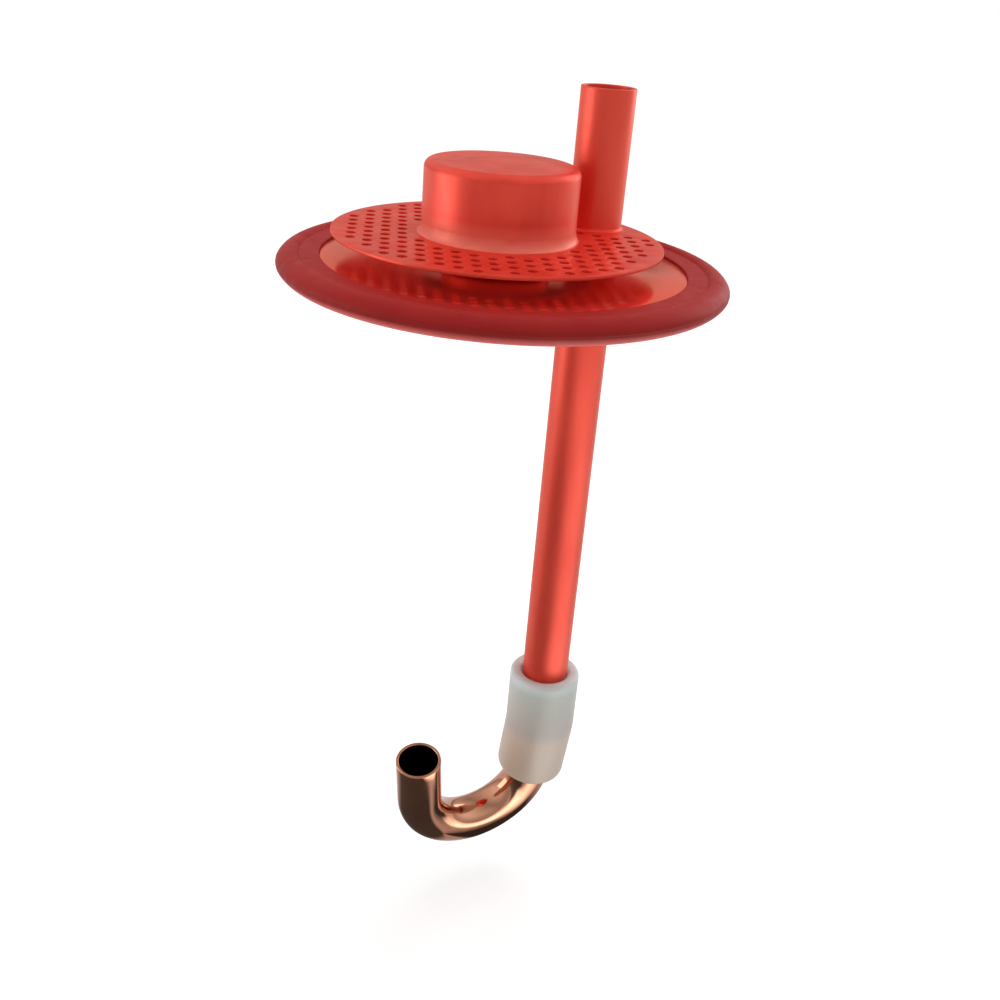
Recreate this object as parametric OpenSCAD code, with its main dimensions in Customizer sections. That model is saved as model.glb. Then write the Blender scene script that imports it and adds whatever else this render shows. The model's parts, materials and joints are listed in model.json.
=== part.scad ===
// Column tray for a 4 inch distilling column.
//
// A disc held in the groove of a clamp gasket carries a vapour riser, and a bubble cap with a
// perforated brim stands over the riser. An overflow tube runs down through brim and disc,
// and a soft sleeve joins it to a U-shaped liquid trap.
//
// Millimetres, +Z up. The origin is the centre of the clamp gasket, on its mid-plane.
// +X points from the tray's axis towards the overflow tube.

/* [Clamp gasket] */
// Outer diameter, as for a 4 inch column clamp
gasket_d = 119; // [105:0.5:140]
// Height of the straight outer edge
edge_h = 1.4; // [0.6:0.1:2.4]
// Distance from the outer edge to the crest of the sealing bead
bead_inset = 4.4; // [3.8:0.1:6]
// Height of the bead's crest above the gasket's mid-plane
bead_h = 3.3; // [2.9:0.1:4.5]
// Radius of the bead's inner flank
bead_round = 1.8; // [1.2:0.1:2.2]
// Width of the flat land inside the sealing bead
land_w = 5; // [4:0.1:8]
// Height of the land above the gasket's mid-plane
land_h = 2.5; // [2.2:0.1:2.7]
// Thickness of the lip over the tray disc
upper_lip_t = 0.6; // [0.5:0.1:1.2]
// Rounding of the lips' inner edges
lip_round = 0.4; // [0.1:0.05:0.5]

/* [Tray disc] */
// Thickness of the disc
disc_t = 1.5; // [0.8:0.1:2]
// How far the disc reaches into the gasket's groove
groove_depth = 3.2; // [2.6:0.1:4]
// How far the tray sits off the gasket's centre, because the soft groove gives
tray_shift = 2.2; // [0:0.1:2.4]
// Direction of that shift, in degrees from +X
tray_shift_az = 143; // [0:1:359]

/* [Vapour riser] */
// Outer diameter of the riser
riser_d = 28; // [22:0.5:30]
// Wall of the riser
riser_wall = 1; // [0.6:0.1:1.5]
// How far the riser reaches below the disc
riser_foot = 1; // [0.5:0.1:1.6]
// Number of windows cut into the riser's top
window_count = 6; // [4:1:8]
// Height of a window
window_h = 5; // [3:0.5:8]
// Width of a window
window_w = 7; // [4:0.5:8]

/* [Perforated brim] */
// Diameter of the brim
brim_d = 87; // [80:0.5:90]
// Thickness of the brim
brim_t = 0.8; // [0.6:0.1:2]
// Clear height between the disc and the brim
brim_gap = 6; // [4.5:0.1:10]
// Diameter of a hole
hole_d = 2.5; // [1.5:0.1:3.5]
// Distance between neighbouring holes
hole_pitch = 5; // [4.2:0.1:8]
// Turn of the rows of holes, in degrees from +X
rows_turn = -1.5; // [-30:0.5:30]
// Shift of the pattern along its rows
rows_shift = 1.2; // [-2.5:0.1:2.5]
// Plain metal outside the outermost holes
rim_margin = 2; // [1:0.1:5]
// Least plain metal between a hole and a braze fillet
hole_land = 0.5; // [0.3:0.1:2]

/* [Bubble cap] */
// Outer diameter of the cap
cap_d = 40.4; // [36:0.1:46]
// Wall of the cap
cap_wall = 1; // [0.6:0.1:1.5]
// Height of the cap above the brim
cap_h = 18.4; // [12:0.1:30]
// Outer rounding of the cap's top edge
cap_round = 2.2; // [1.7:0.1:4]

/* [Overflow tube] */
// Outer diameter of the tube
tube_d = 15; // [12:0.5:16]
// Wall of the tube
tube_wall = 1; // [0.6:0.1:1.5]
// Distance from the tray's axis to the tube's axis
tube_offset = 33; // [32:0.1:34]
// Height of the open end above the brim, which sets the liquid level
tube_rise = 36.8; // [20:0.1:60]
// Depth of the lower end below the gasket's mid-plane
tube_drop = 158.2; // [80:0.1:250]

/* [Sleeve and trap] */
// Wall of the sleeve
sleeve_wall = 4; // [2:0.1:5]
// Length of the sleeve on the overflow tube
sleeve_grip = 19; // [12:0.5:30]
// Length of the sleeve on the trap's leg
trap_grip = 20.2; // [12:0.1:25]
// Rounding of the sleeve's ends
sleeve_round = 1.6; // [0.4:0.1:1.8]
// Lean of the trap where the sleeve bends, in degrees
trap_lean = 9.3; // [4:0.5:14]
// Direction towards which the trap's foot leans, in degrees from +X
lean_az = 80; // [0:1:359]
// Centre-line radius of the sleeve's bend
sleeve_bend_r = 16; // [14:0.5:30]
// Centre-line radius of the trap
trap_bend_r = 21.2; // [18:0.5:40]
// How far the trap turns back, in degrees
trap_turn = 172.5; // [150:1:180]
// Direction from the trap's inlet leg to its outlet leg, in degrees from +X
trap_az = 171; // [0:1:359]
// Straight length of the trap's outlet leg
outlet_leg = 19; // [6:0.5:40]

/* [Fits and braze] */
// Radial clearance of the sleeve round the tube and the trap
sleeve_play = 0.05; // [0.02:0.01:0.1]
// Clearance of brazed joints and of the disc in its groove
joint_play = 0.05; // [0.02:0.01:0.1]
// Size of the braze fillets
fillet = 1; // [0.5:0.1:1.4]

/* [Hidden] */
$fn = 96;

red_metal = [0.87, 0.26, 0.20];
red_braze = [0.80, 0.22, 0.17];
red_rubber = [0.52, 0.13, 0.12];
milky = [0.74, 0.71, 0.68];
copper = [0.80, 0.50, 0.36];

gasket_r = gasket_d / 2;
bead_r = gasket_r - bead_inset;
flank_rise = bead_h - edge_h / 2;
flank_r = (bead_inset ^ 2 + flank_rise ^ 2) / (2 * flank_rise);
lip_r = bead_r - bead_round - land_w;

disc_r = lip_r + groove_depth;
disc_top = land_h - upper_lip_t;
disc_bottom = disc_top - disc_t;
tray_x = tray_shift * cos(tray_shift_az);
tray_y = tray_shift * sin(tray_shift_az);

brim_bottom = disc_top + brim_gap;
brim_top = brim_bottom + brim_t;
brim_r = brim_d / 2;
hole_r = hole_d / 2;
row_step = hole_pitch * sin(60);

cap_r = cap_d / 2;
cap_top = brim_top + cap_h;
cap_ceiling = cap_top - cap_wall;

riser_r = riser_d / 2;
riser_bottom = disc_bottom - riser_foot;

tube_r = tube_d / 2;
tube_bore_r = tube_r - tube_wall;
tube_top = brim_top + tube_rise;
sleeve_bore_r = tube_r + sleeve_play;
sleeve_r = sleeve_bore_r + sleeve_wall;
// A formed bend is this much slimmer on each face than its straight ends, and laps this many
// degrees into them.
bend_skin = 0.06;
bend_lap = 1;

// The ring of holes lies between these two radii, and this far from the tube's axis.
first_hole_r = cap_r + fillet + hole_land + hole_r;
last_hole_r = brim_r - rim_margin - hole_r;
tube_clear_r = tube_r + fillet + hole_land + hole_r;
ring_count = ceil(brim_r / row_step) + 1;

function hole_at(i, j) =
    let (along = (i + j / 2) * hole_pitch + rows_shift, across = j * row_step)
    [along * cos(rows_turn) - across * sin(rows_turn), along * sin(rows_turn) + across * cos(rows_turn)];

function is_hole(p) =
    norm(p) >= first_hole_r && norm(p) <= last_hole_r && norm(p - [tube_offset, 0]) >= tube_clear_r;

HOLES = [for (j = [-ring_count:ring_count], i = [-2 * ring_count:2 * ring_count])
         let (p = hole_at(i, j)) if (is_hole(p)) p];

// Half of a rod's or a plate's section, from the axis out to r, with its top outer corner rounded.
module rounded_profile(r, h, corner) {
    square([r - corner, h]);
    square([r, h - corner]);
    translate([r - corner, h - corner]) circle(corner);
}

// Straight tube from z = 0 upwards.
module pipe(outer_r, inner_r, h) {
    rotate_extrude() translate([inner_r, 0]) square([outer_r - inner_r, h]);
}

// Part of a torus of pipe: it starts at the origin going down and turns towards +X, and laps
// into the straight ends that it joins.
module pipe_bend(outer_r, inner_r, bend_r, turn) {
    translate([bend_r, 0, 0]) rotate([-90, 0, 180]) rotate([0, 0, -bend_lap])
        rotate_extrude(angle = turn + 2 * bend_lap) translate([bend_r, 0]) difference() {
            circle(outer_r - bend_skin);
            circle(inner_r + bend_skin);
        }
}

// Ring of braze in the corner between a flat face at z = 0 and a wall of radius r.
module braze_fillet(r) {
    rotate_extrude() translate([r + joint_play, 0]) difference() {
        square(fillet);
        translate([fillet, fillet]) circle(fillet);
    }
}

module on_tray() {
    translate([tray_x, tray_y, 0]) children();
}

module at_tube() {
    on_tray() translate([tube_offset, 0, 0]) children();
}

// Where the sleeve's bend ends and the trap's leg hangs, with +Z along the leg upwards and
// +X towards the outlet leg.
module at_leg() {
    at_tube() translate([0, 0, -tube_drop])
        rotate([0, 0, lean_az])
            translate([sleeve_bend_r * (1 - cos(trap_lean)), 0, -sleeve_bend_r * sin(trap_lean)])
                rotate([0, -trap_lean, 0]) rotate([0, 0, trap_az - lean_az]) children();
}

// Inner edge of a ring's section: its rounded corner has its centre at radius r and its top at h.
module rounded_inside(r, h, corner) {
    translate([r - corner, 0]) square([corner, h - corner]);
    translate([r, h - corner]) circle(corner);
}

// Upper half of the gasket's section: from the straight outer edge a wide flank swells up to the
// bead's crest, and a short round flank drops from there to the flat land.
module gasket_half() {
    difference() {
        union() {
            intersection() {
                translate([bead_r, bead_h - flank_r]) circle(flank_r);
                translate([bead_r, 0]) square([bead_inset, bead_h]);
            }
            rounded_inside(bead_r, bead_h, bead_round);
            square([bead_r, land_h]);
        }
        square([lip_r + lip_round, land_h]);
        translate([0, -land_h]) square([gasket_r, land_h]);
    }
    rounded_inside(lip_r + lip_round, land_h, lip_round);
}

module clamp_gasket() {
    color(red_rubber) difference() {
        rotate_extrude() {
            gasket_half();
            mirror([0, 1]) gasket_half();
        }
        on_tray() translate([0, 0, disc_bottom - joint_play])
            cylinder(r = disc_r + joint_play, h = disc_t + 2 * joint_play);
    }
}

module tray_disc() {
    color(red_metal) on_tray() translate([0, 0, disc_bottom]) difference() {
        cylinder(r = disc_r, h = disc_t);
        translate([0, 0, -1]) cylinder(r = riser_r + joint_play, h = disc_t + 2);
        translate([tube_offset, 0, -1]) cylinder(r = tube_r + joint_play, h = disc_t + 2);
    }
}

// The riser's top is cut into windows, and the cap rests on what stands between them.
module vapour_riser() {
    color(red_metal) on_tray() difference() {
        translate([0, 0, riser_bottom])
            pipe(riser_r, riser_r - riser_wall, cap_ceiling - riser_bottom);
        for (k = [0:window_count - 1])
            rotate([0, 0, (k + 0.5) * 360 / window_count])
                translate([riser_r / 2, -window_w / 2, cap_ceiling - window_h])
                    cube([riser_r, window_w, window_h + 1]);
    }
}

module riser_braze() {
    color(red_braze) on_tray() translate([0, 0, disc_top]) braze_fillet(riser_r);
}

module perforated_brim() {
    color(red_metal) on_tray() translate([0, 0, brim_bottom]) difference() {
        cylinder(r = brim_r, h = brim_t);
        translate([0, 0, -1]) cylinder(r = cap_r + joint_play, h = brim_t + 2);
        translate([tube_offset, 0, -1]) cylinder(r = tube_r + joint_play, h = brim_t + 2);
        for (p = HOLES)
            translate([p[0], p[1], -1]) cylinder(r = hole_r, h = brim_t + 2, $fn = 24);
    }
}

module bubble_cap() {
    color(red_metal) on_tray() translate([0, 0, brim_bottom]) rotate_extrude() difference() {
        rounded_profile(cap_r, cap_top - brim_bottom, cap_round);
        rounded_profile(cap_r - cap_wall, cap_ceiling - brim_bottom, cap_round - cap_wall);
    }
}

module cap_braze() {
    color(red_braze) on_tray() translate([0, 0, brim_top]) braze_fillet(cap_r);
}

module overflow_tube() {
    color(red_metal) at_tube() translate([0, 0, -tube_drop])
        pipe(tube_r, tube_bore_r, tube_top + tube_drop);
}

module tube_braze() {
    color(red_braze) at_tube() {
        translate([0, 0, brim_top]) braze_fillet(tube_r);
        translate([0, 0, disc_bottom]) mirror([0, 0, 1]) braze_fillet(tube_r);
    }
}

// One end of the sleeve, from z = 0 upwards, with its far outer edge rounded.
module sleeve_end(length) {
    rotate_extrude() difference() {
        rounded_profile(sleeve_r, length, sleeve_round);
        square([sleeve_bore_r, length]);
    }
}

module coupling_sleeve() {
    color(milky) {
        at_tube() translate([0, 0, -tube_drop]) {
            sleeve_end(sleeve_grip);
            rotate([0, 0, lean_az]) pipe_bend(sleeve_r, sleeve_bore_r, sleeve_bend_r, trap_lean);
        }
        at_leg() mirror([0, 0, 1]) sleeve_end(trap_grip);
    }
}

module trap_bend() {
    color(copper) at_leg() translate([0, 0, -trap_grip]) {
        pipe(tube_r, tube_bore_r, trap_grip);
        pipe_bend(tube_r, tube_bore_r, trap_bend_r, trap_turn);
        translate([trap_bend_r * (1 - cos(trap_turn)), 0, -trap_bend_r * sin(trap_turn)])
            rotate([0, 180 - trap_turn, 0]) pipe(tube_r, tube_bore_r, outlet_leg);
    }
}

clamp_gasket();
tray_disc();
vapour_riser();
riser_braze();
perforated_brim();
bubble_cap();
cap_braze();
overflow_tube();
tube_braze();
coupling_sleeve();
trap_bend();
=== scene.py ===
# Column tray with its bubble cap, overflow tube and liquid trap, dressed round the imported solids.
#
# Metres, +Z up. The origin is the centre of the clamp gasket, and +X points from the tray's axis
# towards the overflow tube.
import json
import math

import bmesh
import bpy
from mathutils import Matrix, Vector, noise


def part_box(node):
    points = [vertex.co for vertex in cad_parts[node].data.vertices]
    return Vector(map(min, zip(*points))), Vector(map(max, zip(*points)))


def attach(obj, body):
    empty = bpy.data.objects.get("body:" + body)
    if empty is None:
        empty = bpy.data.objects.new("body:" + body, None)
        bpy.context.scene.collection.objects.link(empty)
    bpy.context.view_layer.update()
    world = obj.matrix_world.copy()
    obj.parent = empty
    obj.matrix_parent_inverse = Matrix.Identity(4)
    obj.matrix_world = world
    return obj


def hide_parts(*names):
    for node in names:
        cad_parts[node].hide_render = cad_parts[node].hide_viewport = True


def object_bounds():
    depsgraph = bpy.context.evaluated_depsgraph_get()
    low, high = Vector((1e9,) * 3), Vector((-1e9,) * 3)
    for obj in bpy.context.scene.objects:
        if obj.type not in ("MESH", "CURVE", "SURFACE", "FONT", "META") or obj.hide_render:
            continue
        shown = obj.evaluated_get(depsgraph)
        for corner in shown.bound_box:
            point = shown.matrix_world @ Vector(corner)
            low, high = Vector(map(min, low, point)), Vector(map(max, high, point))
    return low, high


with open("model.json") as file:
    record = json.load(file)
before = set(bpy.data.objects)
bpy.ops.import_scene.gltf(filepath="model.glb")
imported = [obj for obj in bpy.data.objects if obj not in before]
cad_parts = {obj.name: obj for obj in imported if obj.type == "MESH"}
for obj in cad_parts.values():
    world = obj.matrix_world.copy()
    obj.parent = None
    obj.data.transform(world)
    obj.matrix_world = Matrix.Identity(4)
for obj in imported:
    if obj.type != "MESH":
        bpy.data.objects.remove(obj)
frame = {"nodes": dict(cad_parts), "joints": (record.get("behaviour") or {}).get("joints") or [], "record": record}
cad_low, cad_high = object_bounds()

# ---------------------------------------------------------------------------- Clamp gasket
# A moulded rubber ring that a column clamp squeezes between two ferrules. A sealing bead swells
# on each face, a fine parting line runs round the outer edge, and a groove in the inner edge
# holds the tray disc, a little off centre because the rubber gives.

gasket_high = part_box("clamp_gasket")[1]
disc_low, disc_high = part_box("tray_disc")
tray_at = Vector(((disc_low.x + disc_high.x) / 2, (disc_low.y + disc_high.y) / 2, 0))
disc_r = (disc_high.x - disc_low.x) / 2
gasket_r = gasket_high.x
bead_top = gasket_high.z
edge_half = 0.0007
bead_inset = 0.0044
bead_round = 0.0018
land_w = 0.005
land_h = 0.0025
lip_round = 0.0004
groove_play = 0.00005
parting_rise = 0.00012
parting_w = 0.0003
rim_light_full = 0.0009
rim_light_end = 0.0028
gasket_sides = 256
corner_steps = 8
bead_steps = 14
sharp_angle = math.radians(40)


def ring(centre, r, sides, across=Vector((1, 0, 0)), along=Vector((0, 1, 0))):
    """Points on a circle, or its centre alone where r is 0."""
    if r == 0:
        return [centre.copy()]
    turns = [2 * math.pi * k / sides for k in range(sides)]
    return [centre + r * (math.cos(t) * across + math.sin(t) * along) for t in turns]


def arc(centre_r, centre_z, r, start, end, steps):
    """Points (radius, height) of an arc in a section, between two angles in degrees."""
    turns = [math.radians(start + (end - start) * k / steps) for k in range(steps + 1)]
    return [(centre_r + r * math.cos(t), centre_z + r * math.sin(t)) for t in turns]


def shown(name, mesh):
    """An object for a mesh, smooth but for its sharp edges."""
    mesh.shade_smooth()
    mesh.set_sharp_from_angle(angle=sharp_angle)
    piece = bpy.data.objects.new(name, mesh)
    bpy.context.scene.collection.objects.link(piece)
    return piece


def skin(name, rings, joined=True):
    """A closed shell over rings of points, joined last to first or ending in two poles."""
    shell = bmesh.new()
    rows = [[shell.verts.new(p) for p in points] for points in rings]
    following = rows[1:] + rows[:1] if joined else rows[1:]
    for low, high in zip(rows, following):
        for k in range(max(len(low), len(high))):
            corners = [low[k % len(low)], low[(k + 1) % len(low)],
                       high[(k + 1) % len(high)], high[k % len(high)]]
            shell.faces.new(list(dict.fromkeys(corners)))
    bmesh.ops.recalc_face_normals(shell, faces=shell.faces)
    mesh = bpy.data.meshes.new(name)
    shell.to_mesh(mesh)
    shell.free()
    return shown(name, mesh)


def turned(name, profile, at, sides, joined=True):
    """A piece turned round a vertical axis from a profile of (radius, height)."""
    return skin(name, [ring(at + Vector((0, 0, z)), r, sides) for r, z in profile], joined)


def node(tree, kind, inputs=None, **settings):
    """A new node of a tree, with its inputs set to values or joined to other nodes' outputs."""
    made = tree.nodes.new(kind)
    for name, value in settings.items():
        setattr(made, name, value)
    for place, value in (inputs or {}).items():
        if isinstance(value, bpy.types.NodeSocket):
            tree.links.new(value, made.inputs[place])
        else:
            made.inputs[place].default_value = value
    return made


def finish_of(name, **settings):
    """A new material: its node tree and its shader, with plain settings on its sockets."""
    material = bpy.data.materials.new(name)
    material.use_nodes = True
    shader = material.node_tree.nodes["Principled BSDF"]
    for place, value in settings.items():
        shader.inputs[place.replace("_", " ")].default_value = value
    return material, material.node_tree, shader


def cloud(tree, scale, detail=3, stretch=(1, 1, 1)):
    """A noise pattern on the piece's own coordinates, with scale in waves a metre."""
    place = node(tree, "ShaderNodeTexCoord").outputs["Object"]
    place = node(tree, "ShaderNodeMapping", {"Vector": place, "Scale": stretch}).outputs[0]
    pattern = node(tree, "ShaderNodeTexNoise", {"Vector": place, "Scale": scale, "Detail": detail})
    return pattern.outputs["Fac"]


def shades(tree, pattern, stops):
    """Colours laid along a pattern: stops of (place, colour)."""
    ramp = node(tree, "ShaderNodeValToRGB", {"Fac": pattern})
    for k, (place, colour) in enumerate(stops):
        stop = ramp.color_ramp.elements[k] if k < 2 else ramp.color_ramp.elements.new(place)
        stop.position = place
        stop.color = (*colour, 1)
    return ramp.outputs["Color"]


def between(tree, pattern, low, high, start=0.3, end=0.7):
    """A number that goes from low to high as a pattern goes from start to end."""
    inputs = {"Value": pattern, "From Min": start, "From Max": end, "To Min": low, "To Max": high}
    return node(tree, "ShaderNodeMapRange", inputs).outputs["Result"]


def bumped(tree, shader, pattern, depth):
    """Lets a pattern stand out of the surface by a depth in metres."""
    bump = node(tree, "ShaderNodeBump", {"Height": pattern, "Distance": depth, "Strength": 1})
    tree.links.new(bump.outputs["Normal"], shader.inputs["Normal"])


def join(tree, output, shader, place):
    """Joins another node's output to one of the shader's inputs."""
    tree.links.new(output, shader.inputs[place])


def height_in(tree):
    """The height above the gasket's mid-plane, in metres."""
    place = node(tree, "ShaderNodeTexCoord").outputs["Object"]
    return node(tree, "ShaderNodeSeparateXYZ", {0: place}).outputs[2]


def laid_over(tree, shader, share, colour):
    """Lays a colour over the shader's own, wholly where share is 1."""
    under = shader.inputs["Base Color"].links[0].from_socket
    mixed = node(tree, "ShaderNodeMix", {0: share, 6: under, 7: colour}, data_type="RGBA")
    join(tree, mixed.outputs[2], shader, "Base Color")


bead_r = gasket_r - bead_inset
lip_r = bead_r - bead_round - land_w
edge_r = gasket_r - parting_rise
flank_rise = bead_top - edge_half
flank_r = ((edge_r - bead_r) ** 2 + flank_rise ** 2) / (2 * flank_rise)
flank_start = math.degrees(math.acos((edge_r - bead_r) / flank_r))
shoulder = math.degrees(math.asin((land_h - bead_top + bead_round) / bead_round))

upper_half = [(gasket_r, 0), (edge_r, parting_w / 2)]
upper_half += arc(bead_r, bead_top - flank_r, flank_r, flank_start, 90, bead_steps)
upper_half += arc(bead_r, bead_top - bead_round, bead_round, 90, 180 - shoulder, bead_steps)[1:]
upper_half += arc(lip_r + lip_round, land_h - lip_round, lip_round, 90, 180, corner_steps)
lower_half = [(r, -z) for r, z in reversed(upper_half[1:])]

groove_top = disc_high.z + groove_play
groove_bottom = disc_low.z - groove_play
upright = [Vector((0, 0, z)) for z in (groove_top, groove_bottom)]
gasket_rings = [ring(Vector((0, 0, z)), r, gasket_sides) for r, z in upper_half]
gasket_rings.append(ring(upright[0], lip_r, gasket_sides))
gasket_rings += [ring(tray_at + at, disc_r + groove_play, gasket_sides) for at in upright]
gasket_rings.append(ring(upright[1], lip_r, gasket_sides))
gasket_rings += [ring(Vector((0, 0, z)), r, gasket_sides) for r, z in lower_half]
gasket = skin("rubber_clamp_gasket", gasket_rings)

rubber, tree, shader = finish_of("dark_red_rubber", IOR=1.5, Specular_IOR_Level=0.16)
mottle = cloud(tree, 45, 4)
join(tree, shades(tree, mottle, [(0.3, (0.33, 0.0125, 0.0105)), (0.7, (0.38, 0.0185, 0.016))]),
     shader, "Base Color")

# The lower bead is painted paler at its crest, fading up its flanks: a painted highlight for light from the floor
# below.
painted_rim_light = between(tree, height_in(tree), 1, 0, rim_light_full - bead_top, rim_light_end - bead_top)
laid_over(tree, shader, painted_rim_light, (0.93, 0.17, 0.15, 1))
join(tree, between(tree, cloud(tree, 300), 0.48, 0.60), shader, "Roughness")
bumped(tree, shader, cloud(tree, 2200, 2), 0.00001)
gasket.data.materials.append(rubber)
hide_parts("clamp_gasket")
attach(gasket, "tray")

# ---------------------------------------------------------------------------- Tray disc
# A round of polished sheet with a hole in the middle for the vapour riser and one beside it
# for the overflow tube. It is blanked, deburred and polished, and sits in the gasket's groove.

riser_low, riser_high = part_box("vapour_riser")
tube_low, tube_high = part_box("overflow_tube")
tube_at = Vector(((tube_low.x + tube_high.x) / 2, (tube_low.y + tube_high.y) / 2, 0))
riser_r = (riser_high.x - riser_low.x) / 2
tube_r = (tube_high.x - tube_low.x) / 2
seat_play = 0.00005
sheet_round = 0.00015
wall_steps = 6
rim_sides = 256
middle_sides = 128
aside_sides = 96
hole_sides = 24
merge_gap = 0.000002

# The disc has no rows of holes: its first ones would stand a metre from its middle.
no_holes = {"Hole_radius": 0.001, "Pitch": 0.02, "Rows_turn": 0.0, "Rows_shift": 0.0,
            "First_radius": 1.0, "Last_radius": 0.0, "Side_clear": 1.0}


def calc(tree, operation, *values):
    """One operation of arithmetic on numbers or outputs."""
    inputs = dict(enumerate(values))
    return node(tree, "ShaderNodeMath", inputs, operation=operation).outputs[0]


def product(tree, first, *others):
    """Numbers or outputs multiplied with each other."""
    for value in others:
        first = calc(tree, "MULTIPLY", first, value)
    return first


def measure(tree, operation, *vectors):
    """A vector's length, or the distance or dot product of two."""
    inputs = dict(enumerate(vectors))
    return node(tree, "ShaderNodeVectorMath", inputs, operation=operation).outputs["Value"]


def new_nodes(name, inputs):
    """A tree of geometry nodes with named inputs: the tree and its inputs' sockets."""
    tree = bpy.data.node_groups.new(name, "GeometryNodeTree")
    for label, kind in inputs:
        tree.interface.new_socket(label, in_out="INPUT", socket_type=f"NodeSocket{kind}")
    tree.interface.new_socket("Geometry", in_out="OUTPUT", socket_type="NodeSocketGeometry")
    return tree, node(tree, "NodeGroupInput").outputs


def rounded_wall():
    """Nodes for the wall of a round hole in sheet, or of a rim where Round is negative."""
    tree, given = new_nodes("rounded_wall", [
        ("Radius", "Float"), ("Half thickness", "Float"), ("Round", "Float"), ("Sides", "Int")])
    tube = node(tree, "GeometryNodeMeshCylinder",
                {"Vertices": given["Sides"], "Side Segments": wall_steps, "Radius": 1, "Depth": 2},
                fill_type="NONE")
    place = node(tree, "GeometryNodeInputPosition").outputs[0]
    x, y, z = node(tree, "ShaderNodeSeparateXYZ", {0: place}).outputs

    # The steps on each side of the middle are straight. All the others round the two edges.
    step = 2 / wall_steps
    corner = between(tree, calc(tree, "ABSOLUTE", z), 0, math.pi / 2, step, 1)
    opened = calc(tree, "SUBTRACT", 1, calc(tree, "COSINE", corner))
    width = calc(tree, "MULTIPLY_ADD", given["Round"], opened, given["Radius"])
    below = calc(tree, "SUBTRACT", 1, calc(tree, "SINE", corner))
    lost = product(tree, calc(tree, "ABSOLUTE", given["Round"]), below)
    height = product(tree, calc(tree, "SUBTRACT", given["Half thickness"], lost),
                     calc(tree, "SIGN", calc(tree, "SNAP", z, step)))
    moved = node(tree, "ShaderNodeCombineXYZ",
                 {0: product(tree, x, width), 1: product(tree, y, width), 2: height})
    wall = node(tree, "GeometryNodeSetPosition",
                {"Geometry": tube.outputs[0], "Position": moved.outputs[0]})
    node(tree, "NodeGroupOutput", {0: wall.outputs[0]})
    return tree


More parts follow.
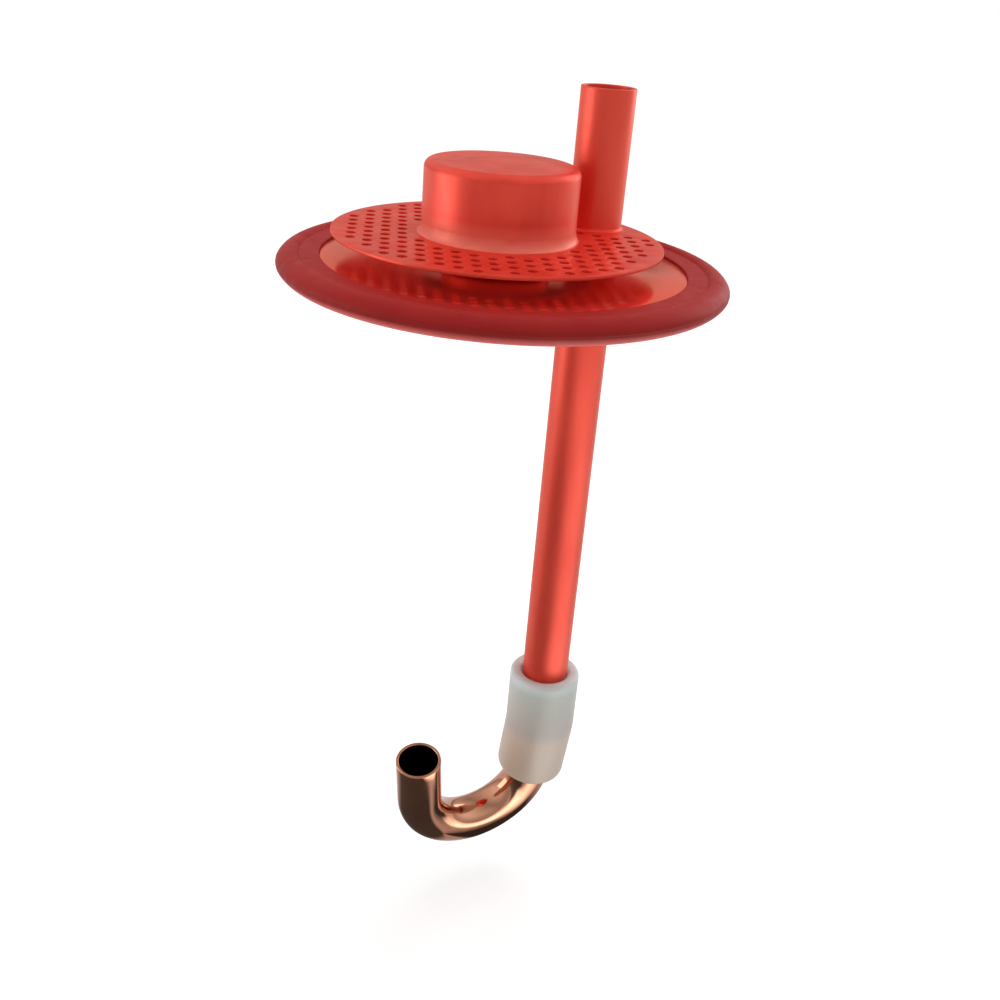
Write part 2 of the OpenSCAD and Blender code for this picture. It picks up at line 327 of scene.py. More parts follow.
def punched_sheet():
    """Nodes for a round sheet with a seat in its middle, one beside it, and rows of holes."""
    tree, given = new_nodes("punched_sheet", [
        ("Radius", "Float"), ("Thickness", "Float"), ("Edge round", "Float"),
        ("Middle radius", "Float"), ("Side radius", "Float"), ("Side offset", "Float"),
        ("Hole radius", "Float"), ("Pitch", "Float"), ("Rows turn", "Float"),
        ("Rows shift", "Float"), ("First radius", "Float"), ("Last radius", "Float"),
        ("Side clear", "Float"), ("Finish", "Material")])
    half = product(tree, given["Thickness"], 0.5)
    rounding = given["Edge round"]
    inwards = product(tree, rounding, -1)
    aside = node(tree, "ShaderNodeCombineXYZ", {0: given["Side offset"]}).outputs[0]

    # The holes' centres: a grid whose every other row is moved by half a pitch.
    row_step = product(tree, given["Pitch"], math.sqrt(3) / 2)
    across = calc(tree, "CEIL", calc(tree, "DIVIDE", given["Radius"], given["Pitch"]))
    up = calc(tree, "CEIL", calc(tree, "DIVIDE", given["Radius"], row_step))
    grid = node(tree, "GeometryNodeMeshGrid", {
        "Size X": product(tree, across, 2, given["Pitch"]),
        "Size Y": product(tree, up, 2, row_step),
        "Vertices X": calc(tree, "MULTIPLY_ADD", across, 2, 1),
        "Vertices Y": calc(tree, "MULTIPLY_ADD", up, 2, 1)})
    place = node(tree, "GeometryNodeInputPosition").outputs[0]
    depth = node(tree, "ShaderNodeSeparateXYZ", {0: place}).outputs[1]
    row = calc(tree, "ROUND", calc(tree, "DIVIDE", depth, row_step))
    moved = product(tree, calc(tree, "FLOORED_MODULO", row, 2), 0.5)
    along = calc(tree, "MULTIPLY_ADD", moved, given["Pitch"], given["Rows shift"])
    stagger = node(tree, "ShaderNodeCombineXYZ", {0: along}).outputs[0]
    rows = node(tree, "GeometryNodeSetPosition", {"Geometry": grid.outputs[0], "Offset": stagger})
    turn = node(tree, "ShaderNodeCombineXYZ", {2: given["Rows turn"]}).outputs[0]
    rows = node(tree, "GeometryNodeTransform", {"Geometry": rows.outputs[0], "Rotation": turn})
    from_middle = measure(tree, "LENGTH", place)
    from_side = measure(tree, "DISTANCE", place, aside)
    outside = calc(tree, "ADD", calc(tree, "LESS_THAN", from_middle, given["First radius"]),
                   calc(tree, "GREATER_THAN", from_middle, given["Last radius"]))
    outside = calc(tree, "ADD", outside, calc(tree, "LESS_THAN", from_side, given["Side clear"]))
    centres = node(tree, "GeometryNodeDeleteGeometry", {
        "Geometry": rows.outputs[0], "Selection": outside}, domain="POINT").outputs[0]

    # Each round edge is drawn once as a curve that bounds the faces and once as a wall.
    curves, walls = [], []
    for radius, sides, cut, where in (
            (given["Radius"], rim_sides, inwards, None),
            (given["Middle radius"], middle_sides, rounding, None),
            (given["Side radius"], aside_sides, rounding, aside),
            (given["Hole radius"], hole_sides, rounding, centres)):
        face_radius = calc(tree, "ADD", radius, cut)
        curve = node(tree, "GeometryNodeCurvePrimitiveCircle",
                     {"Resolution": sides, "Radius": face_radius}).outputs[0]
        wall = node(tree, "GeometryNodeGroup", node_tree=wall_nodes)
        for label, value in (("Radius", radius), ("Half thickness", half), ("Round", cut)):
            tree.links.new(value, wall.inputs[label])
        wall.inputs["Sides"].default_value = sides
        for drawn, kept in ((curve, curves), (wall.outputs[0], walls)):
            if where is centres:
                drawn = node(tree, "GeometryNodeInstanceOnPoints",
                             {"Points": centres, "Instance": drawn}).outputs[0]
                drawn = node(tree, "GeometryNodeRealizeInstances", {0: drawn}).outputs[0]
            elif where is aside:
                drawn = node(tree, "GeometryNodeTransform",
                             {"Geometry": drawn, "Translation": aside}).outputs[0]
            kept.append(drawn)

    outline = node(tree, "GeometryNodeJoinGeometry")
    for curve in curves:
        tree.links.new(curve, outline.inputs[0])
    face = node(tree, "GeometryNodeFillCurve", {0: outline.outputs[0]}).outputs[0]
    sheet = node(tree, "GeometryNodeJoinGeometry")
    for wall in walls:
        tree.links.new(wall, sheet.inputs[0])
    for side in (1, -1):
        level = node(tree, "ShaderNodeCombineXYZ", {2: product(tree, half, side)}).outputs[0]
        moved = node(tree, "GeometryNodeTransform", {"Geometry": face, "Translation": level})
        tree.links.new(moved.outputs[0], sheet.inputs[0])
    merged = node(tree, "GeometryNodeMergeByDistance",
                  {"Geometry": sheet.outputs[0], "Distance": merge_gap})
    plain = node(tree, "GeometryNodeRealizeInstances", {0: merged.outputs[0]})
    finished = node(tree, "GeometryNodeSetMaterial",
                    {"Geometry": plain.outputs[0], "Material": given["Finish"]})
    node(tree, "NodeGroupOutput", {0: finished.outputs[0]})
    return tree


def grown(name, tree, at, **inputs):
    """What a tree of geometry nodes makes from its inputs, as a plain mesh moved to its place."""
    seed = bpy.data.objects.new(name + "_seed", bpy.data.meshes.new(name + "_seed"))
    bpy.context.scene.collection.objects.link(seed)
    modifier = seed.modifiers.new("nodes", "NODES")
    modifier.node_group = tree
    for item in tree.interface.items_tree:
        label = item.name.replace(" ", "_")
        if item.in_out == "INPUT" and label in inputs:
            modifier[item.identifier] = inputs[label]
    evaluated = seed.evaluated_get(bpy.context.evaluated_depsgraph_get())
    mesh = bpy.data.meshes.new_from_object(evaluated)
    mesh.name = name
    bpy.data.objects.remove(seed)
    shell = bmesh.new()
    shell.from_mesh(mesh)
    bmesh.ops.recalc_face_normals(shell, faces=shell.faces)
    shell.to_mesh(mesh)
    shell.free()
    mesh.transform(Matrix.Translation(at))
    return shown(name, mesh)


polished, tree, shader = finish_of("polished_red_sheet", Metallic=0.74, IOR=1.5,
                                   Specular_Tint=(1.0, 0.72, 0.55, 1))
mottle = cloud(tree, 60)
join(tree, shades(tree, mottle, [(0.3, (0.95, 0.085, 0.060)), (0.7, (1.00, 0.105, 0.075))]),
     shader, "Base Color")
join(tree, between(tree, cloud(tree, 120), 0.15, 0.22), shader, "Roughness")

wall_nodes = rounded_wall()
sheet_nodes = punched_sheet()
disc_middle = tray_at + Vector((0, 0, (disc_low.z + disc_high.z) / 2))
disc = grown("polished_tray_disc", sheet_nodes, disc_middle, Radius=disc_r,
             Thickness=disc_high.z - disc_low.z, Edge_round=sheet_round,
             Middle_radius=riser_r + seat_play, Side_radius=tube_r + seat_play,
             Side_offset=tube_at.x - tray_at.x, Finish=polished, **no_holes)
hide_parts("tray_disc")
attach(disc, "tray")

# ---------------------------------------------------------------------------- Perforated brim
# A round of sheet punched in staggered rows before it was cut to size, so the rows run straight
# across it. Vapour bubbles out through the holes. It is brazed to the cap and the tube.

brim_low, brim_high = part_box("perforated_brim")
cap_low, cap_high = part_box("bubble_cap")
brim_r = (brim_high.x - brim_low.x) / 2
cap_r = (cap_high.x - cap_low.x) / 2
braze_size = 0.001
hole_r = 0.00125
hole_pitch = 0.005
rows_turn = math.radians(-1.5)
rows_shift = 0.0012
hole_land = 0.0005
rim_margin = 0.002
satin_metallic = 0.42


def satin(name, dark, light, stretch=(1, 1, 1)):
    """Red-tinted metal with a soft, uneven brushing, drawn out where stretch is small."""
    material, tree, shader = finish_of(name, Metallic=satin_metallic, IOR=1.7,
                                       Specular_IOR_Level=0.6, Specular_Tint=(1.0, 0.72, 0.54, 1))
    join(tree, shades(tree, cloud(tree, 90, 3, stretch), [(0.32, dark), (0.68, light)]),
         shader, "Base Color")
    join(tree, between(tree, cloud(tree, 160, 4, stretch), 0.32, 0.46), shader, "Roughness")
    bumped(tree, shader, cloud(tree, 1400, 2, stretch), 0.000012)
    return material


brim_metal = satin("satin_red_sheet", (0.74, 0.033, 0.018), (0.86, 0.054, 0.032))
hole_clear = braze_size + hole_land + hole_r
brim_middle = tray_at + Vector((0, 0, (brim_low.z + brim_high.z) / 2))
brim = grown("perforated_brim_sheet", sheet_nodes, brim_middle, Radius=brim_r,
             Thickness=brim_high.z - brim_low.z, Edge_round=sheet_round,
             Middle_radius=cap_r + seat_play, Side_radius=tube_r + seat_play,
             Side_offset=tube_at.x - tray_at.x, Hole_radius=hole_r, Pitch=hole_pitch,
             Rows_turn=rows_turn, Rows_shift=rows_shift, First_radius=cap_r + hole_clear,
             Last_radius=brim_r - rim_margin - hole_r, Side_clear=tube_r + hole_clear,
             Finish=brim_metal)
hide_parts("perforated_brim")
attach(brim, "tray")

# ---------------------------------------------------------------------------- Vapour riser
# A short tube brazed into the middle of the disc. Its upper end has windows cut into it, and
# the cap rests on what stands between them, so the solid's own shape is kept.

# The riser's red is painted lighter than the other red metal's: painted light that lifts it out of the shade under
# the brim.
riser_metal = satin("satin_red_riser", (0.88, 0.040, 0.024), (0.96, 0.056, 0.036))
riser = frame["nodes"]["vapour_riser"]
riser.data.materials.clear()
riser.data.materials.append(riser_metal)

# ---------------------------------------------------------------------------- Bubble cap
# A deep-drawn cup, closed on top and open below, that turns the vapour down to the tray. Its
# top edge is rounded by the drawing. Its foot is painted paler and less metallic up the wall:
# a painted highlight where light from above catches the foot.

cap_wall = 0.001
cap_round = 0.0022
cap_sides = 192
foot_highlight_full = 0.001
foot_highlight_end = 0.0065
skin_full = 0.0003
skin_end = 0.0008
cove_full = 0.0002
cove_end = 0.0011
cove_share = 0.25
foot_highlight_metallic = 0.08


def radius_in(tree, at):
    """The distance from an upright axis, in metres."""
    place = node(tree, "ShaderNodeTexCoord").outputs["Object"]
    place = node(tree, "ShaderNodeMapping", {"Vector": place, "Location": -at, "Scale": (1, 1, 0)})
    return measure(tree, "LENGTH", place.outputs[0])


round_r = cap_r - cap_round
round_z = cap_high.z - cap_round
inner_r = cap_r - cap_wall
foot_z = cap_low.z + sheet_round
cap_profile = [(0, cap_high.z)]
cap_profile += reversed(arc(round_r, round_z, cap_round, 0, 90, corner_steps))
cap_profile += [(cap_r, foot_z), (cap_r - sheet_round, cap_low.z)]
cap_profile += [(inner_r + sheet_round, cap_low.z), (inner_r, foot_z)]
cap_profile += arc(round_r, round_z, cap_round - cap_wall, 0, 90, corner_steps)
cap_profile += [(0, cap_high.z - cap_wall)]
cap = turned("drawn_bubble_cap", cap_profile, tray_at, cap_sides, joined=False)
cap_metal = satin("drawn_red_cap", (0.73, 0.034, 0.019), (0.92, 0.064, 0.039), (1, 1, 0.4))
tree = cap_metal.node_tree
shader = tree.nodes["Principled BSDF"]

# The painted highlight fades up the wall, into the wall's skin, and outwards over the braze.
off_axis = radius_in(tree, tray_at)
up_wall = between(tree, height_in(tree), 1, 0, brim_high.z + foot_highlight_full, brim_high.z + foot_highlight_end)
in_skin = between(tree, off_axis, 0, 1, cap_r - skin_end, cap_r - skin_full)
over_cove = between(tree, off_axis, 1, cove_share, cap_r + cove_full, cap_r + cove_end)
pale = product(tree, up_wall, in_skin, over_cove)
laid_over(tree, shader, pale, (1.0, 0.22, 0.155, 1))
join(tree, between(tree, pale, satin_metallic, foot_highlight_metallic, 0, 1), shader, "Metallic")
cap.data.materials.append(cap_metal)
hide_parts("bubble_cap")
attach(cap, "tray")

# ---------------------------------------------------------------------------- Overflow tube
# A length of stock tube, sawn and deburred, that sets the liquid level with its open upper end
# and carries the overflow down. The red tint stops where the sleeve covers the tube.

tube_wall = 0.001
tube_round = 0.0003
tube_sides = 128
bare_full = 0.0012
bare_end = 0.0003
sleeve_low, sleeve_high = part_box("coupling_sleeve")


def rounded_ends(outer, inner, low, high, corner):
    """The section of a straight tube with all four edges rounded, as (radius, height)."""
    section = arc(outer - corner, high - corner, corner, 0, 90, corner_steps)
    section += arc(inner + corner, high - corner, corner, 90, 180, corner_steps)
    section += arc(inner + corner, low + corner, corner, 180, 270, corner_steps)
    return section + arc(outer - corner, low + corner, corner, 270, 360, corner_steps)


tube_section = rounded_ends(tube_r, tube_r - tube_wall, tube_low.z, tube_high.z, tube_round)
tube = turned("drawn_overflow_tube", tube_section, tube_at, tube_sides)
tube_metal = satin("drawn_red_tube", (0.74, 0.045, 0.025), (0.87, 0.078, 0.046), (1, 1, 0.2))
tree = tube_metal.node_tree
shader = tree.nodes["Principled BSDF"]
covered = between(tree, height_in(tree), 1, 0, sleeve_high.z - bare_full, sleeve_high.z - bare_end)
bare = shades(tree, cloud(tree, 200), [(0.3, (0.34, 0.33, 0.31)), (0.7, (0.46, 0.45, 0.43))])
laid_over(tree, shader, covered, bare)
tube.data.materials.append(tube_metal)
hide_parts("overflow_tube")
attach(tube, "tray")

# ---------------------------------------------------------------------------- Braze fillets
# The joints between tube, cap, riser and sheet are brazed by hand. Each fillet is a hollow
# corner that runs a little uneven, tinted with the metal. The cap's climbs higher, and shares
# the cap's finish with the painted highlight at its foot.

braze_metal = satin("red_braze", (0.80, 0.028, 0.014), (0.90, 0.044, 0.026))
braze_steps = 6
braze_waver = 0.00012
braze_waves = 260
cap_braze_rise = 0.003


def fillet(name, replaced, at, z, r, up, metal, rise=braze_size):
    """A ring of braze in the corner between a wall of radius r and a face at z."""
    seat = r + seat_play
    hollow = [(seat + braze_size * across, rise * along)
              for across, along in arc(1, 1, 1, 270, 180, braze_steps)]
    rings = []
    for k, (wide, high) in enumerate([*hollow, (seat, 0)]):
        points = ring(at + Vector((0, 0, z + up * high)), wide, cap_sides)
        if 0 < k < braze_steps:
            shares = [1 + braze_waver * noise.noise(p * braze_waves) / wide for p in points]
            points = [at.lerp(p, share) for p, share in zip(points, shares)]
            points = [Vector((p.x, p.y, z + up * high)) for p in points]
        rings.append(points)
    piece = skin(name, rings)
    piece.data.materials.append(metal)
    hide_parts(replaced)
    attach(piece, "tray")


fillet("cap_braze_ring", "cap_braze", tray_at, brim_high.z, cap_r, 1, cap_metal, cap_braze_rise)
fillet("riser_braze_ring", "riser_braze", tray_at, disc_high.z, riser_r, 1, braze_metal)
fillet("tube_braze_upper", "tube_braze", tube_at, brim_high.z, tube_r, 1, braze_metal)
fillet("tube_braze_lower", "tube_braze", tube_at, disc_low.z, tube_r, -1, braze_metal)

# ---------------------------------------------------------------------------- Coupling sleeve
# A soft, milky silicone sleeve moulded with a slight bend. It is pushed over the overflow tube
# and over the trap's leg, and holds both by its own grip.

swivel = next(j for j in frame["joints"] if j["name"] == "trap_swivel")
leg_top = Vector(swivel["pos_m"])
leg_up = Vector(swivel["axis"]).normalized()
sleeve_bore = tube_r + seat_play
sleeve_wall = 0.004
sleeve_r = sleeve_bore + sleeve_wall
sleeve_round = 0.0016
sleeve_bend_r = 0.016
trap_grip = 0.0202
sleeve_sides = 128
straight_steps = 6
bend_steps = 8
upwards = Vector((0, 0, 1))
length_slack = 1e-9

tube_end = Vector((tube_at.x, tube_at.y, tube_low.z))
lean = leg_up.angle(upwards)
side = (leg_top - tube_end).cross(upwards).normalized()

# The bend's centre lies level with the tube's end, on the side that the trap's leg is on.
bend_centre = tube_end + sleeve_bend_r * upwards.cross(side).normalized()


def straight(start, end, steps):
    """Stations (point, direction) along a straight line."""
    way = (end - start).normalized()
    return [(start.lerp(end, k / steps), way) for k in range(steps + 1)]


def bend(centre, start, way, angle, steps):
    """Stations along an arc round a centre, from a start with its direction."""
    axis = (start - centre).cross(way).normalized()
    turns = [Matrix.Rotation(angle * k / steps, 3, axis) for k in range(steps + 1)]
    return [(centre + m @ (start - centre), m @ way) for m in turns]


def piped(name, stations, across, sides, outer, inner, corner):
    """A tube round a line of stations, with its four end edges rounded."""
    lengths = [0]
    for (a, _), (b, _) in zip(stations, stations[1:]):
        lengths.append(lengths[-1] + (b - a).length)
    total = lengths[-1]

    def level(distance, r):
        k = max(j for j in range(len(lengths) - 1) if lengths[j] <= distance + length_slack)
        share = (distance - lengths[k]) / (lengths[k + 1] - lengths[k])
        centre = stations[k][0].lerp(stations[k + 1][0], share)
        way = stations[k][1].lerp(stations[k + 1][1], share).normalized()
        u = (across - across.dot(way) * way).normalized()
        return ring(centre, r, sides, u, way.cross(u))

    middle = [(outer, s) for s in lengths if corner < s < total - corner]
    section = arc(outer - corner, corner, corner, 270, 360, corner_steps) + middle
    section += arc(outer - corner, total - corner, corner, 0, 90, corner_steps)
    section += arc(inner + corner, total - corner, corner, 90, 180, corner_steps)
    section += [(inner, s) for _, s in reversed(middle)]
    section += arc(inner + corner, corner, corner, 180, 270, corner_steps)
    return skin(name, [level(min(max(s, 0), total), r) for r, s in section])


sleeve_path = straight(Vector((tube_at.x, tube_at.y, sleeve_high.z)), tube_end, straight_steps)
sleeve_path += bend(bend_centre, tube_end, -upwards, lean, bend_steps)[1:]
sleeve_path += straight(leg_top, leg_top - trap_grip * leg_up, straight_steps)[1:]
sleeve = piped("silicone_coupling_sleeve", sleeve_path, side, sleeve_sides, sleeve_r, sleeve_bore,
               sleeve_round)

silicone, tree, shader = finish_of("milky_silicone", IOR=1.41, Roughness=0.42,
                                   Subsurface_Weight=0.5, Subsurface_Scale=0.004,
                                   Coat_Weight=0.2, Coat_Roughness=0.10, Transmission_Weight=0.15)
shader.inputs["Subsurface Radius"].default_value = (1, 0.95, 0.90)

# Painted light and shade: the upper half is painted grey as the shade of the tube inside, the foot painted warm as
# light from the copper leg, and the rim painted cooler against the red light the tube throws on it.
join(tree, shades(tree, between(tree, height_in(tree), 0, 1, sleeve_low.z, sleeve_high.z),
                  [(0.44, (0.82, 0.66, 0.54)), (0.54, (0.69, 0.62, 0.56)),
                   (0.90, (0.76, 0.79, 0.72)), (0.97, (0.88, 1.00, 0.97))]), shader, "Base Color")
bumped(tree, shader, cloud(tree, 260, 3), 0.00004)
sleeve.data.materials.append(silicone)
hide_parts("coupling_sleeve")
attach(sleeve, "sleeve")

# ---------------------------------------------------------------------------- Trap bend
# A tube of bright copper bent back on itself. Liquid stands in it and seals the overflow
# against vapour. Its inlet leg is pushed into the sleeve, and its outlet leg turns upwards.

outlet = next(m for m in frame["record"]["mounts"] if m["name"] == "trap_outlet")
mouth = Vector(outlet["pos_m"])
mouth_up = Vector(outlet["axis"]).normalized()
trap_bend_r = 0.0212
outlet_leg = 0.019
trap_sides = 128
trap_steps = 64

leg_end = leg_top - trap_grip * leg_up
outlet_start = mouth - outlet_leg * mouth_up
towards = outlet_start - leg_end
towards = (towards - towards.dot(leg_up) * leg_up).normalized()
trap_turn = math.pi - leg_up.angle(mouth_up)
trap_path = straight(leg_top, leg_end, straight_steps)
trap_path += bend(leg_end + trap_bend_r * towards, leg_end, -leg_up, trap_turn, trap_steps)[1:]
trap_path += straight(outlet_start, mouth, straight_steps)[1:]
trap = piped("copper_trap_bend", trap_path, leg_up.cross(towards), trap_sides, tube_r,
             tube_r - tube_wall, tube_round)

copper, tree, shader = finish_of("bright_copper", Metallic=1.0)
mottle = cloud(tree, 110, 4)
join(tree, shades(tree, mottle, [(0.3, (0.50, 0.230, 0.140)), (0.7, (0.60, 0.285, 0.180))]),
     shader, "Base Color")
join(tree, between(tree, cloud(tree, 140), 0.08, 0.16), shader, "Roughness")
trap.data.materials.append(copper)
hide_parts("trap_bend")
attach(trap, "trap")

# ---------------------------------------------------------------------------- Floor and light
# A plain pale floor, low enough for the trap to come down as far as the sleeve pulls, with soft
# lamps at both sides and one overhead. None of it belongs to the object.

floor_half = 30.0
floor_drop = 0.0205
near_glow = 0.53
near_glow_mirrored = 0.20
far_glow = 0.73
glow_span = (0.3, 1.8)
white = (1, 1, 1, 1)


def level_sheet(name, half, z):
    """A square sheet that lies level at a height."""
    mesh = bpy.data.meshes.new(name)
    corners = [(x * half, y * half, z) for x, y in ((-1, -1), (1, -1), (1, 1), (-1, 1))]
    mesh.from_pydata(corners, [], [(0, 1, 2, 3)])
    sheet = bpy.data.objects.new(name, mesh)
    bpy.context.scene.collection.objects.link(sheet)
    return sheet


def blank(owner):
    """The emptied node tree of a material or a world."""
    owner.use_nodes = True
    owner.node_tree.nodes.clear()
    return owner.node_tree


def rest_of(tree, share):
    """What a share leaves of 1."""
    return calc(tree, "SUBTRACT", 1, share)


floor = level_sheet("studio_floor", floor_half, cad_low.z - floor_drop)
paper = bpy.data.materials.new("pale_paper")
tree = blank(paper)
path = node(tree, "ShaderNodeLightPath").outputs
mirrored_view = calc(tree, "MAXIMUM", path["Is Glossy Ray"], path["Is Transmission Ray"])
plain_view = calc(tree, "MAXIMUM", path["Is Camera Ray"], mirrored_view)
grain = shades(tree, cloud(tree, 8), [(0.3, (0.78, 0.78, 0.78)), (0.7, (0.80, 0.80, 0.80))])
matt = node(tree, "ShaderNodeBsdfDiffuse", {"Color": grain}).outputs[0]
away = measure(tree, "LENGTH", node(tree, "ShaderNodeTexCoord").outputs["Object"])
nearest = between(tree, path["Is Camera Ray"], near_glow_mirrored, near_glow, 0, 1)
lift = between(tree, away, nearest, far_glow, *glow_span)
glow = node(tree, "ShaderNodeEmission", {"Color": white, "Strength": lift}).outputs[0]
lifted = node(tree, "ShaderNodeAddShader", {0: matt, 1: glow}).outputs[0]
seen = node(tree, "ShaderNodeMixShader", {0: plain_view, 1: matt, 2: lifted}).outputs[0]
node(tree, "ShaderNodeOutputMaterial", {"Surface": seen})
floor.data.materials.append(paper)

# A card lies level with the trap's foot, dark to the left and bright to the right. Only
# reflections show it, and only from above. A zone has a reach, a left and a right edge in
# degrees to the right of the front, and a level. Reach runs with the distance's power of ten.
card_heading = math.radians(232.9)
card_half = 4.0
card_lift = 0.0002
card_soft = 0.05
power_span = (-2.0, 0.5)
card_zones = [(0.10, -130, 50, 0.08), (0.22, -125, 18, 0.10), (0.50, -80, 38, 0.20),
              (0.66, -75, -15, 0.40), (0.74, -65, 0, 0.42), (0.80, -55, 92, 0.46),
              (1.0, -55, 92, 0.62)]
# The bright zone glows: a painted highlight that only reflections show.
bright_edge = 95
bright_level = (3.8, 2.3)
bright_fade = (0.33, 0.43)
bright_start = (0.14, 0.20)
bright_end = (0.73, 0.79)
# Past the bright zone, near the trap's foot, the card is dark again: a painted shadow of the trap for its
# underside to reflect.
foot_edge = 163
foot_soft = 0.02
foot_end = (0.22, 0.30)
foot_level = 0.05


def turned_to(degrees):
    """A place to the right of the front as a share of the whole turn, with the front at half."""
    return (degrees + 180) / 360


def past(tree, place, edge, soft):
    """0 before an edge and 1 past it, with a soft change between."""
    return between(tree, calc(tree, "SUBTRACT", place, edge), 0, 1, -soft, soft)


card = level_sheet("floor_card", card_half, cad_low.z + card_lift)
card.visible_camera = False
card.visible_diffuse = False
card.visible_shadow = False
card.visible_transmission = False
shaded = bpy.data.materials.new("shaded_card")
tree = blank(shaded)
place = node(tree, "ShaderNodeTexCoord").outputs["Object"]
place = node(tree, "ShaderNodeMapping", {"Vector": place, "Rotation": (0, 0, -card_heading)})
x, y, z = node(tree, "ShaderNodeSeparateXYZ", {0: place.outputs[0]}).outputs
round_it = between(tree, calc(tree, "ARCTAN2", y, x), 0, 1, -math.pi, math.pi)
away = calc(tree, "SQRT", calc(tree, "ADD", product(tree, x, x), product(tree, y, y)))
reach = between(tree, calc(tree, "LOGARITHM", away, 10), 0, 1, *power_span)
zones = shades(tree, reach, [(at, (turned_to(left), turned_to(right), level))
                             for at, left, right, level in card_zones])
left_edge, right_edge, level = node(tree, "ShaderNodeSeparateColor", {0: zones}).outputs
past_left = past(tree, round_it, left_edge, card_soft)
past_right = past(tree, round_it, right_edge, card_soft)
past_bright = past(tree, round_it, turned_to(bright_edge), card_soft)
past_foot = past(tree, round_it, turned_to(foot_edge), foot_soft)
dark = product(tree, past_left, rest_of(tree, past_right))
bright = product(tree, past_right, rest_of(tree, past_bright),
                 between(tree, reach, 0, 1, *bright_start), between(tree, reach, 1, 0, *bright_end))
foot = product(tree, past_bright, rest_of(tree, past_foot), between(tree, reach, 1, 0, *foot_end))
brightness = between(tree, reach, *bright_level, *bright_fade)
lit = calc(tree, "ADD", product(tree, dark, level), product(tree, bright, brightness))
lit = calc(tree, "MULTIPLY_ADD", foot, foot_level, lit)
shine = node(tree, "ShaderNodeEmission", {"Color": white, "Strength": lit}).outputs[0]
clear = rest_of(tree, calc(tree, "MAXIMUM", calc(tree, "MAXIMUM", dark, bright), foot))
tone = node(tree, "ShaderNodeCombineColor", {0: clear, 1: clear, 2: clear}).outputs[0]
through = node(tree, "ShaderNodeBsdfTransparent", {"Color": tone}).outputs[0]
laid = node(tree, "ShaderNodeAddShader", {0: through, 1: shine}).outputs[0]
from_below = node(tree, "ShaderNodeNewGeometry").outputs["Backfacing"]
nothing = node(tree, "ShaderNodeBsdfTransparent").outputs[0]
one_sided = node(tree, "ShaderNodeMixShader", {0: from_below, 1: laid, 2: nothing}).outputs[0]
node(tree, "ShaderNodeOutputMaterial", {"Surface": one_sided})
card.data.materials.append(shaded)

# The room is white to the eye. Reflections find it darker in front, overhead and along the foot
# of the wall behind the object. Spans say how far a ray points to the front or upwards.
room_light = 0.40
horizon_behind = 0.66
horizon_front = 0.52
front_span = (0.2, 0.8)
backdrop_loss = 0.7
backdrop_span = (-0.85, -0.50)
backdrop_rise = (0.04, 0.14)
ceiling_level = 0.45
ceiling_rise = (0.17, 0.5)
side_gain = 0.9
world = bpy.data.worlds.new("studio")
tree = blank(world)
path = node(tree, "ShaderNodeLightPath").outputs
way = node(tree, "ShaderNodeTexCoord").outputs["Generated"]
height = node(tree, "ShaderNodeSeparateXYZ", {0: way}).outputs[2]
to_side = (math.sin(card_heading), -math.cos(card_heading), 0)
to_front = (math.cos(card_heading), math.sin(card_heading), 0)
sideways = measure(tree, "DOT_PRODUCT", way, to_side)
frontal = measure(tree, "DOT_PRODUCT", way, to_front)
backdrop = product(tree, between(tree, frontal, 1, 0, *backdrop_span),
                   between(tree, height, backdrop_loss, 0, *backdrop_rise))
low_tone = product(tree, between(tree, frontal, horizon_behind, horizon_front, *front_span),
                   rest_of(tree, backdrop))
high_tone = calc(tree, "MULTIPLY_ADD", calc(tree, "ABSOLUTE", sideways), side_gain, ceiling_level)
rising = between(tree, height, 0, 1, *ceiling_rise)
mirrored = node(tree, "ShaderNodeMix", {0: rising, 2: low_tone, 3: high_tone}).outputs[0]
plain_view = calc(tree, "MAXIMUM", path["Is Camera Ray"], path["Is Transmission Ray"])
plain = between(tree, plain_view, room_light, 1, 0, 1)
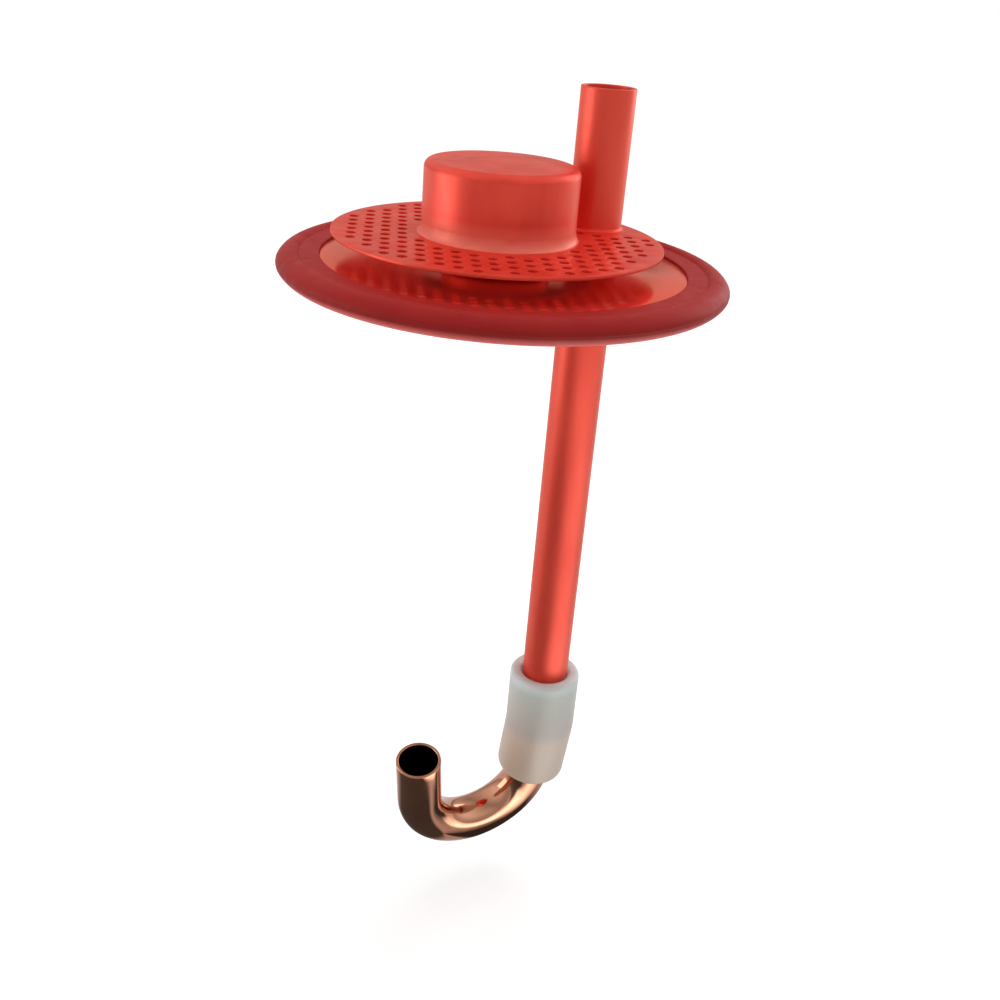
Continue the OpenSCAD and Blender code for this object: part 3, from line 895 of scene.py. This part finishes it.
strength = node(tree, "ShaderNodeMix", {0: path["Is Glossy Ray"], 2: plain, 3: mirrored}).outputs[0]
sky = node(tree, "ShaderNodeBackground", {"Color": white, "Strength": strength}).outputs[0]
node(tree, "ShaderNodeOutputWorld", {"Surface": sky})
bpy.context.scene.world = world

# The camera's heading turns from +Y towards +X.
view_heading = math.radians(37.97)
view_down = math.radians(25.64)
view_roll = math.radians(4.72)
view_from = Vector((-0.17536, -0.23125, 0.07119))
lens_mm = 39.68

ahead = Vector((math.sin(view_heading) * math.cos(view_down),
                math.cos(view_heading) * math.cos(view_down), -math.sin(view_down)))
right = Vector((math.cos(view_heading), -math.sin(view_heading), 0))
overhead = right.cross(ahead)


def lamp(name, from_right, from_above, from_behind, size, power, mirrored=True):
    """A soft square lamp, placed from the object's middle as the camera sees it."""
    middle = (cad_low + cad_high) / 2
    light = bpy.data.lights.new(name, "AREA")
    light.size = size
    light.energy = power
    holder = bpy.data.objects.new(name, light)
    level_ahead = Vector((ahead.x, ahead.y, 0)).normalized()
    holder.location = (middle + from_right * right + Vector((0, 0, from_above))
                       + from_behind * level_ahead)
    holder.rotation_euler = (middle - holder.location).to_track_quat("-Z", "Y").to_euler()
    holder.visible_glossy = mirrored
    bpy.context.scene.collection.objects.link(holder)


lamp("left_softbox", -0.80, 0.02, -0.10, 0.5, 1.9)
lamp("right_softbox", 0.60, 0.30, 0.55, 0.5, 1.3)
lamp("overhead_softbox", 0.05, 0.95, 0.05, 0.7, 4.8, mirrored=False)

camera_data = bpy.data.cameras.new("camera")
camera_data.sensor_width = 36
camera_data.lens = lens_mm
camera_data.clip_start = 0.01
camera = bpy.data.objects.new("camera", camera_data)
camera_x = math.cos(view_roll) * right + math.sin(view_roll) * overhead
camera_y = math.cos(view_roll) * overhead - math.sin(view_roll) * right
turn = Matrix((camera_x, camera_y, -ahead)).transposed()
camera.matrix_world = Matrix.Translation(view_from) @ turn.to_4x4()
bpy.context.scene.collection.objects.link(camera)
bpy.context.scene.camera = camera
bpy.context.scene.view_settings.view_transform = "Standard"
